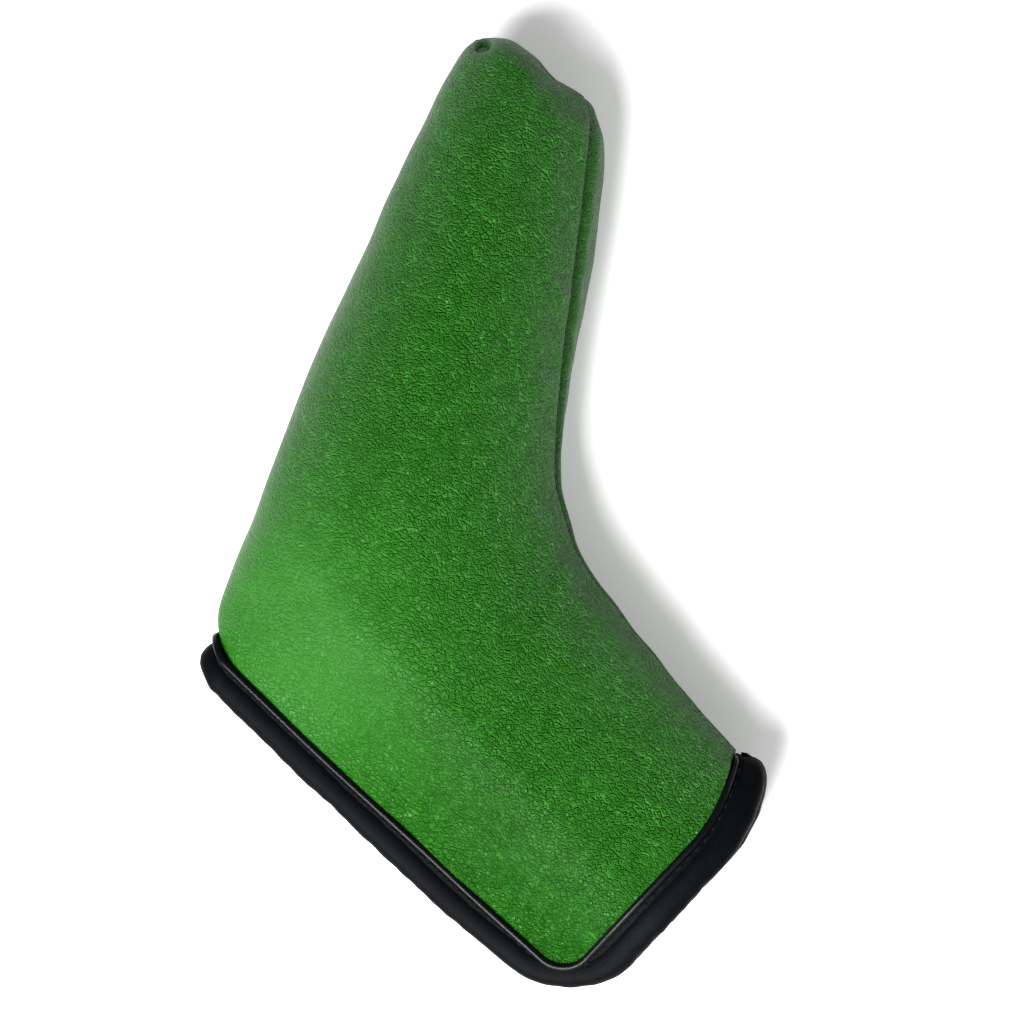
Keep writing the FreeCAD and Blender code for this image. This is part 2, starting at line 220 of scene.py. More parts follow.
class Workshop:
    """Makes meshes from millimetre arrays, places them in the frame and dresses them."""

    def __init__(self, origin: Array) -> None:
        """Args:
            origin: the heel corner of the mouth, on the parting plane, in metres.
        """
        self.origin = origin

    def to_frame(self, points: Array) -> Array:
        """Points in millimetres from the heel corner, as metres in the frame."""
        return points * MM + self.origin

    def piece(self, name: str, points: Array, faces: Array, material: Material,
              sharp: float = 50.0, caps: list[list[int]] | None = None) -> Object:
        """A smooth-shaded mesh object whose closed surface faces outwards.

        Args:
            name: the piece's name.
            points: its points, in millimetres from the heel corner.
            faces: its quads.
            material: its finish.
            sharp: edges that turn by more than this many degrees stay crisp.
            caps: extra faces of any number of corners, such as the ends of a roll.

        Returns:
            The new object.
        """
        if signed_volume(points - points.mean(axis=0), faces) < 0:
            faces = faces[:, ::-1]
            caps = [cap[::-1] for cap in caps or []]
        mesh = bpy.data.meshes.new(name)
        mesh.from_pydata(self.to_frame(points).tolist(), [], faces.tolist() + (caps or []))
        mesh.validate()
        mesh.shade_smooth()
        mesh.set_sharp_from_angle(angle=math.radians(sharp))
        mesh.materials.append(material)
        item = bpy.data.objects.new(name, mesh)
        bpy.context.scene.collection.objects.link(item)
        log.info("%s: %d points, %d faces", name, len(mesh.vertices), len(mesh.polygons))
        return item

    def shell(self, name: str, outer: Array, inner: Array,
              material: Material) -> Object:
        """A closed layer of cloth between two grids of points, with walls round its edge.

        Args:
            name: the piece's name.
            outer, inner: the two faces of the layer, grids of the same size.
            material: its finish.

        Returns:
            The new object.
        """
        rows, columns = outer.shape[:2]
        count = rows * columns
        top = grid_faces(rows, columns)
        border = np.concatenate([
            np.arange(columns),
            np.arange(1, rows) * columns + columns - 1,
            (rows - 1) * columns + np.arange(columns - 2, -1, -1),
            np.arange(rows - 2, 0, -1) * columns,
        ])
        ahead = np.roll(border, -1)
        wall = np.stack([border, ahead, ahead + count, border + count], axis=-1)
        faces = np.concatenate([top, top[:, ::-1] + count, wall])
        points = np.concatenate([outer.reshape(-1, 3), inner.reshape(-1, 3)])
        return self.piece(name, points, faces, material)

    def roll(self, name: str, rings: Array, material: Material) -> Object:
        """A roll or cord skinned over rings of points, closed at both ends.

        Args:
            name: the piece's name.
            rings: points, ring by ring along the roll.
            material: its finish.

        Returns:
            The new object.
        """
        count, around = rings.shape[:2]
        faces = grid_faces(count, around, wrap=True)
        last = (count - 1) * around
        caps = [list(range(around)), list(range(last + around - 1, last - 1, -1))]
        return self.piece(name, rings.reshape(-1, 3), faces, material, caps=caps)

    def stitches(self, name: str, middles: Array, along: Array, up: Array,
                 length: float, radius: float, material: Material) -> Object:
        """A row of stitches: each a short thread whose ends dip into the material.

        A stitch is a tube of six sides on seven rings. Along it, u from -1 to 1, its radius is
        the root of one minus the fourth power of u, and it sinks by u to the fourth.

        Args:
            name: the piece's name.
            middles: the middle of each stitch.
            along, up: each stitch's direction, and the surface's normal there.
            length, radius: the size of a stitch, in millimetres.
            material: the thread's finish.

        Returns:
            The new object.
        """
        steps = np.linspace(-1.0, 1.0, 7)
        turns = np.arange(6) * math.pi / 3
        side = unit(np.cross(along, up))
        girth = radius * np.sqrt(np.maximum(1.0 - steps**4, 0.02))
        sink = -1.3 * radius * steps**4
        centre = (middles[:, None, :] + along[:, None, :] * (steps * length / 2)[None, :, None]
                  + up[:, None, :] * sink[None, :, None])
        spread = (side[:, None, None, :] * np.cos(turns)[None, None, :, None]
                  + up[:, None, None, :] * np.sin(turns)[None, None, :, None])
        rings = centre[:, :, None, :] + spread * girth[None, :, None, None]
        one = grid_faces(len(steps), len(turns), wrap=True)
        size = len(steps) * len(turns)
        shift = (np.arange(len(middles)) * size)[:, None, None]
        faces = (one[None] + shift).reshape(-1, 4)
        caps = []
        for first in range(0, len(middles) * size, size):
            last = first + size - len(turns)
            caps.append(list(range(first, first + len(turns))))
            caps.append(list(range(last + len(turns) - 1, last - 1, -1)))
        return self.piece(name, rings.reshape(-1, 3), faces, material, sharp=80.0, caps=caps)


# --- The cover's pattern ---


@dataclass(frozen=True)
class Pattern:
    """The cutting pattern: the outline of the closed cover and how it bulges, in millimetres."""

    sole_length: float = 140.0
    heel_lean: float = math.radians(69.8)
    heel_edge: float = 105.0
    heel_trim: float = 7.2
    heel_overhang: float = 0.8
    exit_trim: float = 8.5
    rim_round: float = 22.0
    leather_round: float = 4.5
    rim_height: float = 5.2
    edge_flat: float = 0.07
    rest_depth: float = 14.9
    rest_soft: float = 1.5
    stations: int = 13
    corner_station: int = 8
    corner_soft: float = 0.6
    corner_reach: float = 2.4
    corner_steps: int = 25
    foot_flare: float = 3.5
    flare_run: float = 7.0
    toe_bulges: tuple = ((-1.9, 11.0, 4.2), (-1.0, 16.0, 2.8), (0.2, 21.2, 1.2))
    exit_droop: float = 7.0
    droop_start: float = 45.0
    droop_run: float = 20.0
    sole: tuple = ((-141.0, 4.4), (-136.6, 1.9), (-127.5, 0.7), (-106.0, -0.9), (-85.0, -1.5),
                   (-64.0, -2.0), (-43.0, -2.1), (-23.0, -1.8), (-8.0, -1.0))
    seam_side: tuple = ((-137.2, 29.6), (-132.9, 33.4), (-125.6, 37.2), (-105.0, 42.8), (-86.0, 47.2),
                        (-68.5, 52.2), (-61.6, 55.4), (-55.6, 60.0), (-51.2, 65.2))
    throat_seam: tuple = ((43.0, 70.4), (52.0, 68.6), (63.0, 66.9), (75.0, 65.6), (86.0, 64.7),
                          (96.5, 64.2))
    depth: tuple = (9.0, 10.5, 13.2, 16.8, 18.2, 18.3, 17.8, 17.2, 16.6, 16.0, 15.2, 14.0, 12.6, 11.6)
    seam_lift: tuple = (12.0, 20.0, 24.0, 20.0, 14.0, 8.0, 5.0, 3.0, 2.0, 1.0, 0.0, 0.0, 0.0, 0.0)

    def heel_point(self, length: Array, inset: Array) -> Array:
        """Plan points by their distance up the heel edge and inwards from it."""
        lean = self.heel_lean
        x = length * math.cos(lean) - inset * math.sin(lean)
        y = length * math.sin(lean) + inset * math.cos(lean)
        return np.stack(np.broadcast_arrays(x, y), axis=-1)

    def heel_measures(self, plan: Array) -> tuple[Array, Array]:
        """A plan point's distance up the heel edge, and inwards from it."""
        lean = self.heel_lean
        length = plan[..., 0] * math.cos(lean) + plan[..., 1] * math.sin(lean)
        inset = -plan[..., 0] * math.sin(lean) + plan[..., 1] * math.cos(lean)
        return length, inset

    def cut(self, share: float) -> tuple[float, float, float]:
        """The trim line at a share of the trim's width from the rim.

        Args:
            share: 0 at the rim of the mouth, 1 at the edge of the leather.

        Returns:
            Its inset from the heel edge, its place up the heel edge at the shaft exit, and the
            radius of its corner.
        """
        inset = share * self.heel_trim - (1.0 - share) * self.heel_overhang
        top = self.heel_edge - share * self.exit_trim
        radius = self.rim_round + share * (self.leather_round - self.rim_round)
        return inset, top, radius

    def heel_foot(self, inset: float) -> float:
        """How far up the heel edge a trim line at that inset meets the sole."""
        return -inset / math.tan(self.heel_lean)

    def near_edge(self, station: Array, share: float) -> Array:
        """The panel's edge on the sole, then up the heel edge of the mouth, in plan.

        The sole is a smooth curve through its keys. From the corner station on, the edge is
        straight, and the station runs evenly up it.
        """
        inset, top, _ = self.cut(share)
        foot = self.heel_foot(inset)
        keys = np.array(self.sole)
        keys[-1] = self.heel_point(np.array(foot), inset + self.hand_cut(np.array(foot), share))
        keys[-1, 0] -= self.foot_flare
        along_sole = smooth_curve(keys, np.minimum(station, self.corner_station))
        climb = np.clip((station - self.corner_station) / (self.stations - self.corner_station), 0, 1)
        level = foot + climb * (top - foot)
        up_heel = self.heel_point(level, inset + self.hand_cut(level, share))
        up_heel[..., 0] -= self.flare(climb * (top - foot))
        return np.where((station < self.corner_station)[..., None], along_sole, up_heel)

    def hand_cut(self, level: Array, share: float) -> Array:
        """How far the mouth's lines leave their straight run, by the distance up the heel edge.

        The trim is narrower in its lower third, and the rim bends in before the shaft exit.
        """
        return ((3.0 - 2.5 * share) * ramp(level, 66.0, 98.0)
                - 1.1 * share * (1.0 - ramp(level, 25.0, 70.0)))

    def flare(self, climbed: Array) -> Array:
        """How far the mouth's lines bend towards the toe where they leave the sole's fold."""
        return self.foot_flare * np.clip(1.0 - climbed / self.flare_run, 0.0, None) ** 2

    def far_edge(self, station: Array, share: float) -> Array:
        """The panel's edge on the seam side, a smooth curve through its keys, in plan."""
        throat = np.array(self.throat_seam)
        _, top, _ = self.cut(share)
        throat[:, 0] += (top - throat[-1, 0]) * np.linspace(0.0, 1.0, len(throat))
        climbing = self.heel_point(throat[:, 0], throat[:, 1])
        keys = np.concatenate([np.array(self.seam_side)[:-1], climbing])
        return smooth_curve(keys, station)

    def round_corner(self, plan: Array, share: float) -> Array:
        """Rounds the panel's corner between heel edge and shaft exit, and lets the exit droop.

        Inside the corner's square, u and v count from 0 to 1 towards its two sides. The new u is
        u times the root of one minus half v squared, and the new v likewise, which turns the
        square corner into a quarter circle and leaves its inner sides where they are.
        """
        inset, top, radius = self.cut(share)
        length, inward = self.heel_measures(plan)
        first = np.clip(1.0 - (top - length) / radius, 0.0, None)
        second = np.clip(1.0 - (inward - inset) / radius, 0.0, None)
        first_new = first * np.sqrt(1.0 - np.minimum(second, 1.0) ** 2 / 2)
        second_new = second * np.sqrt(1.0 - np.minimum(first, 1.0) ** 2 / 2)
        length = length + (first_new - first) * radius
        inward = inward - (second_new - second) * radius
        length = length - self.droop(inward)[0] * ramp(length, top - 30.0, top)
        return self.heel_point(length, inward)

    def droop(self, inward: Array) -> tuple[Array, Array]:
        """How far the shaft exit falls back towards the seam, and its slope, by the inset.

        It falls with the square of the distance past the place where it starts.
        """
        past = np.clip((inward - self.droop_start) / self.droop_run, 0.0, None)
        return self.exit_droop * past**2, 2.0 * self.exit_droop * past / self.droop_run

    def toe_outline(self, plan: Array, station: Array) -> Array:
        """The toe end's own outline: it bulges beside the sole, and has a notch at the corner
        where the toe seam turns into the seam of the side."""
        x, y = plan[..., 0], plan[..., 1]
        push = sum(depth * bump(y - place, width) for depth, place, width in self.toe_bulges)
        x = x + push * (1.0 - ramp(station, 0.0, 1.7))
        return np.stack([x, y], axis=-1)

    def rim_rise(self, length: Array, inset: float) -> Array:
        """The height of the mouth's edge: a quarter circle out of the sole's fold, then level."""
        climb = np.clip((length - self.heel_foot(inset)) / self.rim_height, 0.0, 1.0)
        return self.rim_height * np.sqrt(1.0 - (1.0 - climb) ** 2)

    def mouth_profile(self, across: Array, depth: Array, edge: Array) -> Array:
        """The height of a lip from its open edge (0) to the middle of the panel (0.5).

        It lies flat beside the edge, then rises as the square of a quarter sine.
        """
        share = np.clip((across - self.edge_flat) / (0.5 - self.edge_flat), 0.0, 1.0)
        return edge + (depth - edge) * np.sin(share * math.pi / 2) ** 2

    def surface(self, station: Array, across: Array, side: Side, sunk: float = 0.0,
                share: float = 1.0) -> Array:
        """A panel's surface, softened where it turns the heel corner.

        Around the corner station each point is a weighted mean of points at stations on both
        sides of its own.

        Args:
            station: the stations, a column.
            across: the shares across the panel, a row.
            side: the front or the back panel.
            sunk: how far the surface lies under the leather's outside, in millimetres.
            share: where the panel is cut at the mouth, as a share of the trim's width.

        Returns:
            A grid of points in millimetres.
        """
        points = self.sections(station, across, side, sunk, share)
        beside = np.abs(station[:, 0] - self.corner_station) < self.corner_reach
        reach = self.corner_soft * bump(station[beside] - self.corner_station, 1.0)
        steps = np.linspace(-1.0, 1.0, self.corner_steps)
        weights = np.cos(steps * math.pi / 2) ** 2
        points[beside] = sum(
            weight * self.sections(station[beside] + step * reach, across, side, sunk, share)
            for step, weight in zip(steps, weights / weights.sum()))
        return points

    def sections(self, station: Array, across: Array, side: Side, sunk: float,
                 share: float) -> Array:
        """The panel's sections before they are softened; the arguments are those of surface.

        Each station's section runs from the near edge to the seam along an angle that goes from
        180 degrees down to the seam's own angle, past the middle of the back where the panel is
        the back one. Across the section the place is half of one plus the angle's cosine, and
        the height is the depth times its sine. From the corner station on, the half beside the
        open edge takes the lip's profile.
        """
        near = self.near_edge(station, share)
        far = self.far_edge(station, share)
        heading = unit(far - near)
        lips = ramp(station, self.corner_station - 1.6, self.corner_station + 1.3)
        near = near + heading * (sunk * (1.0 - lips))[..., None]
        far = far - heading * sunk * 2.0
        toe_share = 1.0 - ramp(station, 0.0, 2.0)
        near[..., 0] += sunk * toe_share
        far[..., 0] += sunk * toe_share
        closing = np.sqrt(1.0 - (1.0 - np.clip(station / 0.9, 0.0, 1.0)) ** 2)
        depth = np.maximum(smooth_curve(np.array(self.depth), station) * closing - sunk, 0.25)

        lift = np.radians(smooth_curve(np.array(self.seam_lift), station))
        sweep = math.pi - lift if side is Side.FRONT else math.pi + lift
        angle = math.pi - side.facing * across * sweep
        width = (1.0 + np.cos(angle)) / 2
        height = depth * np.sin(angle)
        inset, _, _ = self.cut(share)
        edge_length, _ = self.heel_measures(near)
        edge = np.maximum(self.rim_rise(edge_length, inset) - sunk, 0.15)
        whole = np.linalg.norm(far - near, axis=-1)
        lip = side.facing * self.mouth_profile((inset + width * whole) / (inset + whole), depth, edge)
        beside_mouth = (np.abs(angle - math.pi) < math.pi / 2)
        height = np.where(beside_mouth, height + lips * (lip - height), height)
        if side is Side.BACK:
            floor = self.rest_depth - sunk
            over = np.maximum(-height - floor + self.rest_soft, 0.0)
            height = height + over - self.rest_soft * (1.0 - np.exp(-over / self.rest_soft))
        plan = self.toe_outline(near + (far - near) * width[..., None], station)
        plan = self.round_corner(plan, share)
        return np.concatenate([plan, height[..., None]], axis=-1)


PATTERN = Pattern()


def station_grid(rows: int) -> Array:
    """Stations from toe to exit, closer together at the toe and just past the heel corner."""
    return np.interp(np.linspace(0, 1, rows), [0, 0.10, 0.22, 0.58, 0.72, 1],
                     [0, 0.6, 2.0, 7.9, 8.6, 13.0])[:, None]


def across_grid(columns: int) -> Array:
    """Shares across a panel, closer together towards the seam."""
    even = np.linspace(0, 1, columns)
    return (even + 0.06 * np.sin(even * 2 * math.pi) / (2 * math.pi)
            + 0.10 * (np.sin(even * math.pi / 2) - even))[None, :]


# --- Finishes ---


class Nodes:
    """A short way to fill a node tree."""

    def __init__(self, tree: NodeTree) -> None:
        """Args:
            tree: the tree that the nodes go into.
        """
        self.tree = tree

    def add(self, kind: str, settings: dict | None = None, **sockets) -> Node:
        """A node with its settings and sockets filled.

        Args:
            kind: the node's type.
            settings: properties to set on it.
            sockets: values or output sockets by input name, with underscores for spaces.

        Returns:
            The new node.
        """
        node = self.tree.nodes.new(kind)
        for name, value in (settings or {}).items():
            setattr(node, name, value)
        for name, value in sockets.items():
            name = name.replace("_", " ")
            self.feed(next(s for s in node.inputs if s.name == name and s.enabled), value)
        return node

    def feed(self, socket: NodeSocket, value) -> None:
        """Sets a socket to a value, or links an output socket to it."""
        if isinstance(value, NodeSocket):
            self.tree.links.new(value, socket)
        else:
            socket.default_value = value

    def vector(self, operation: str, *values, kind: str = "ShaderNodeVectorMath",
               **sockets) -> NodeSocket:
        """The output of one step of arithmetic on vectors."""
        node = self.add(kind, {"operation": operation}, **sockets)
        for socket, value in zip(node.inputs, values):
            self.feed(socket, value)
        return node.outputs[0]

    def math(self, operation: str, *values) -> NodeSocket:
        """The output of one step of arithmetic on numbers."""
        return self.vector(operation, *values, kind="ShaderNodeMath")

    def noise(self, place: NodeSocket, **sockets) -> Node:
        """A noise pattern read at a place."""
        return self.add("ShaderNodeTexNoise", Vector=place, **sockets)

    def blend(self, share, first: tuple, second: tuple) -> NodeSocket:
        """A mix of two linear colours."""
        node = self.add("ShaderNodeMix", {"data_type": "RGBA"}, Factor=share, A=(*first, 1.0),
                        B=(*second, 1.0))
        return next(socket for socket in node.outputs if socket.enabled)

    def smooth(self, value, low: float, high: float) -> NodeSocket:
        """A value's smooth rise, from nought at low to one at high."""
        return self.add("ShaderNodeMapRange", {"interpolation_type": "SMOOTHSTEP"}, Value=value,
                        From_Min=low, From_Max=high).outputs[0]

    def surface(self, base, rough, height=None, depth: float = 0.0, **sockets) -> None:
        """Ends a material: a Principled surface, with the relief of a height.

        Args:
            base, rough: its colour and its roughness.
            height: the relief, from 0 to 1, if it has one.
            depth: how deep the relief is, in millimetres.
            sockets: the surface's other sockets.
        """
        if height is not None:
            relief = self.add("ShaderNodeBump", Strength=1.0, Distance=depth * MM, Height=height)
            sockets["Normal"] = relief.outputs[0]
        shader = self.add("ShaderNodeBsdfPrincipled", Base_Color=base, Roughness=rough, **sockets)
        self.add("ShaderNodeOutputMaterial", Surface=shader.outputs[0])


def pebble_group() -> NodeTree:
    """Pebbled grain: soft uneven cells parted by fine creases.

    Cells come from the distance to the edge of a warped Voronoi pattern, at two sizes. Its outputs are the
    height of the grain; a patchy mask of the creases between pebbles, where the finishes paint a highlight
    or shade; and slow patches.

    Returns:
        The node group, with sockets Vector, Scale, Warp, Height, Crease and Patch.
    """
    group = bpy.data.node_groups.new("pebble_grain", "ShaderNodeTree")
    for name, way, kind in (("Vector", "INPUT", "Vector"), ("Scale", "INPUT", "Float"),
                            ("Warp", "INPUT", "Float"), ("Height", "OUTPUT", "Float"),
                            ("Crease", "OUTPUT", "Float"), ("Patch", "OUTPUT", "Float")):
        group.interface.new_socket(name, in_out=way, socket_type=f"NodeSocket{kind}")
    nodes = Nodes(group)
    given = nodes.add("NodeGroupInput").outputs
    wander = nodes.noise(given["Vector"], Scale=420.0, Detail=2.0).outputs
    patch = nodes.noise(given["Vector"], Scale=60.0, Detail=3.0).outputs
    centred = nodes.vector("SUBTRACT", wander["Color"], (0.5, 0.5, 0.5))
    pushed = nodes.vector("SCALE", centred, Scale=given["Warp"])
    swirl = nodes.vector("SCALE", patch["Color"], Scale=nodes.math("MULTIPLY", given["Warp"], 5.0))
    warped = nodes.vector("ADD", given["Vector"], nodes.vector("ADD", pushed, swirl))
    drawn_out = nodes.add("ShaderNodeMapping", Vector=warped, Rotation=(0.0, 0.0, 0.25),
                          Scale=(1.1, 0.75, 1.0)).outputs[0]
    finer = nodes.math("MULTIPLY", given["Scale"], 2.1)
    coarse, fine = (
        nodes.smooth(nodes.add("ShaderNodeTexVoronoi", {"feature": "DISTANCE_TO_EDGE"}, Vector=place,
                               Scale=scale, Randomness=1.0).outputs["Distance"], 0.0, width)
        for place, scale, width in ((drawn_out, given["Scale"], 0.17), (warped, finer, 0.30)))
    height = nodes.math("ADD", nodes.math("MULTIPLY", coarse, 0.72), nodes.math("MULTIPLY", fine, 0.38))
    crease = nodes.math("MULTIPLY", nodes.math("SUBTRACT", 1.0, coarse),
                        nodes.smooth(wander[0], 0.36, 0.62))
    nodes.add("NodeGroupOutput", Height=height, Crease=crease, Patch=patch[0])
    return group


@dataclass(frozen=True)
class Finish:
    """What every finish has: a name, and a linear colour."""

    name: str
    colour: tuple

    def begin(self) -> tuple[Material, Nodes, NodeSocket]:
        """An empty material, its nodes, and the coordinates that its patterns read."""
        material = bpy.data.materials.new(self.name)
        material.use_nodes = True
        material.node_tree.nodes.clear()
        nodes = Nodes(material.node_tree)
        return material, nodes, nodes.add("ShaderNodeTexCoord").outputs["Object"]


@dataclass(frozen=True)
class GrainedLeather(Finish):
    """A leather finish with pebbled grain, and painted light in its creases: a colour mixed into them,
    lighter for a painted highlight, darker for painted shade; the grain's sizes are in millimetres.
    """

    # the colour painted into the creases: lighter than the base colour as a painted highlight, darker as
    # painted shade
    crease_painted_light_colour: tuple
    cell: float
    warp: float
    depth: float
    roughness: float
    specular: float
    tint: float = 0.6
    uneven: bool = False

    def build(self, grain: NodeTree) -> Material:
        """The finished material, with its grain from the grain group."""
        material, nodes, place = self.begin()
        pattern = nodes.add("ShaderNodeGroup", {"node_tree": grain}, Vector=place,
                            Scale=1.0 / (self.cell * MM), Warp=self.warp * MM).outputs
        strength = 1.0
        if self.uneven:
            strength = nodes.add("ShaderNodeAttribute", {"attribute_name": GRAIN_STRENGTH}).outputs["Fac"]
        # painted light: the crease mask, scaled by the grain strength and this share, mixes the base
        # colour towards the crease colour
        crease = nodes.math("MULTIPLY", pattern["Crease"], nodes.math("MULTIPLY", strength, self.tint))
        base = nodes.blend(crease, self.colour, self.crease_painted_light_colour)
        rough = nodes.math("MULTIPLY_ADD", pattern["Patch"], 0.16, self.roughness - 0.08)
        height = nodes.math("MULTIPLY", pattern["Height"], strength)
        nodes.surface(base, rough, height, self.depth, Specular_IOR_Level=self.specular)
        return material


@dataclass(frozen=True)
class Cloth(Finish):
    """A soft fibrous or cellular finish: noise for its fibres, with sheen."""

    deep_colour: tuple
    scale: float
    depth: float
    roughness: float
    sheen: float = 0.0
    specular: float = 0.5

    def build(self) -> Material:
        """The finished material."""
        material, nodes, place = self.begin()
        fibres = nodes.noise(place, Scale=self.scale, Detail=4.0, Roughness=0.7).outputs[0]
        base = nodes.blend(fibres, self.deep_colour, self.colour)
        nodes.surface(base, self.roughness, fibres, self.depth, Sheen_Weight=self.sheen,
                      Specular_IOR_Level=self.specular)
        return material


@dataclass(frozen=True)
class PlatedMetal(Finish):
    """A bright plated metal, uneven in its roughness."""

    roughness: float = 0.22

    def build(self) -> Material:
        """The finished material."""
        material, nodes, place = self.begin()
        wear = nodes.noise(place, Scale=900.0, Detail=5.0).outputs[0]
        rough = nodes.math("MULTIPLY_ADD", wear, 0.25, self.roughness - 0.1)
        nodes.surface(nodes.blend(wear, self.colour, tuple(part * 0.8 for part in self.colour)), rough,
                      Metallic=1.0)
        return material


class Finishes:
    """Every finish of the cover, built once."""

    def __init__(self) -> None:
        """Builds the grain group and the materials."""
        grain = pebble_group()
        black = (0.001, 0.001, 0.002)
        # the green leather's creases are painted lighter than its base: a painted highlight along the
        # crease walls
        self.leather = GrainedLeather("green_pebbled_leather", (0.012, 0.112, 0.003),
                                      (0.045, 0.240, 0.027), cell=1.0, warp=0.8, depth=0.72,
                                      roughness=0.40, specular=0.20, tint=0.55, uneven=True).build(grain)
        # the trim's and the piping's creases are painted darker than their base: painted shade
        self.trim = GrainedLeather("black_soft_trim", (0.0022, 0.0028, 0.0035), black, cell=0.7,
                                   warp=0.6, depth=0.02, roughness=0.48, specular=0.03).build(grain)
        self.piping = GrainedLeather("black_piping", (0.002, 0.0025, 0.003), black, cell=0.6,
                                     warp=0.5, depth=0.015, roughness=0.28, specular=0.16).build(grain)
        self.plush = Cloth("black_plush", (0.020, 0.020, 0.022), (0.004, 0.004, 0.005), scale=1800.0,
                           depth=0.8, roughness=0.95, sheen=0.6).build()
        self.foam = Cloth("padding_foam", (0.050, 0.050, 0.055), (0.018, 0.018, 0.020), scale=1600.0,
                          depth=0.35, roughness=0.95).build()
        self.pouch = Cloth("pouch_cloth", (0.045, 0.045, 0.05), (0.015, 0.015, 0.018), scale=3500.0,
                           depth=0.12, roughness=0.85).build()
        self.green_thread = Cloth("green_thread", (0.05, 0.30, 0.035), (0.02, 0.13, 0.015),
                                  scale=6000.0, depth=0.05, roughness=0.55).build()
        self.black_thread = Cloth("black_thread", (0.0030, 0.0034, 0.0040), black, scale=6000.0,
                                  depth=0.05, roughness=0.6, specular=0.12).build()
        self.nickel = PlatedMetal("nickel_plate", (0.62, 0.60, 0.57)).build()


# --- Sub-assemblies ---


@dataclass
class Hinge:
    """The line where the soft wall bends between the fixed part and the lips; it only bakes each soft
    piece's transform.
    """

    shop: Workshop
    before: float = -3.0
    after: float = 17.0

    def bend(self, piece: Object, side: Side) -> None:
        """Bakes the piece's transform into its mesh; the bend line's ends are worked out but not used."""
        top = PATTERN.heel_point(np.array(PATTERN.heel_edge), np.array(PATTERN.throat_seam[-1][1]))
        past = unit(np.array([top[1], -top[0]]))
        start, end = (self.shop.to_frame(np.array([*(top / 2 + past * offset), 0.0]))
                      for offset in (self.before, self.after))
        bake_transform(piece)


@dataclass
class SoftPart:
    """What every soft part of one panel is made with."""

    shop: Workshop
    hinge: Hinge
    side: Side

    def fit(self, piece: Object, slot: str, *nodes: str) -> Object:
        """Finishes a piece: hides the frame's nodes that it replaces, and bakes its transform.

        Args:
            piece: the piece.
            slot: not used.
            nodes: the frame's nodes that it replaces, if any.

        Returns:
            The piece.
        """
        if nodes:
            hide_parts(*nodes)
        self.hinge.bend(piece, self.side)
        return piece


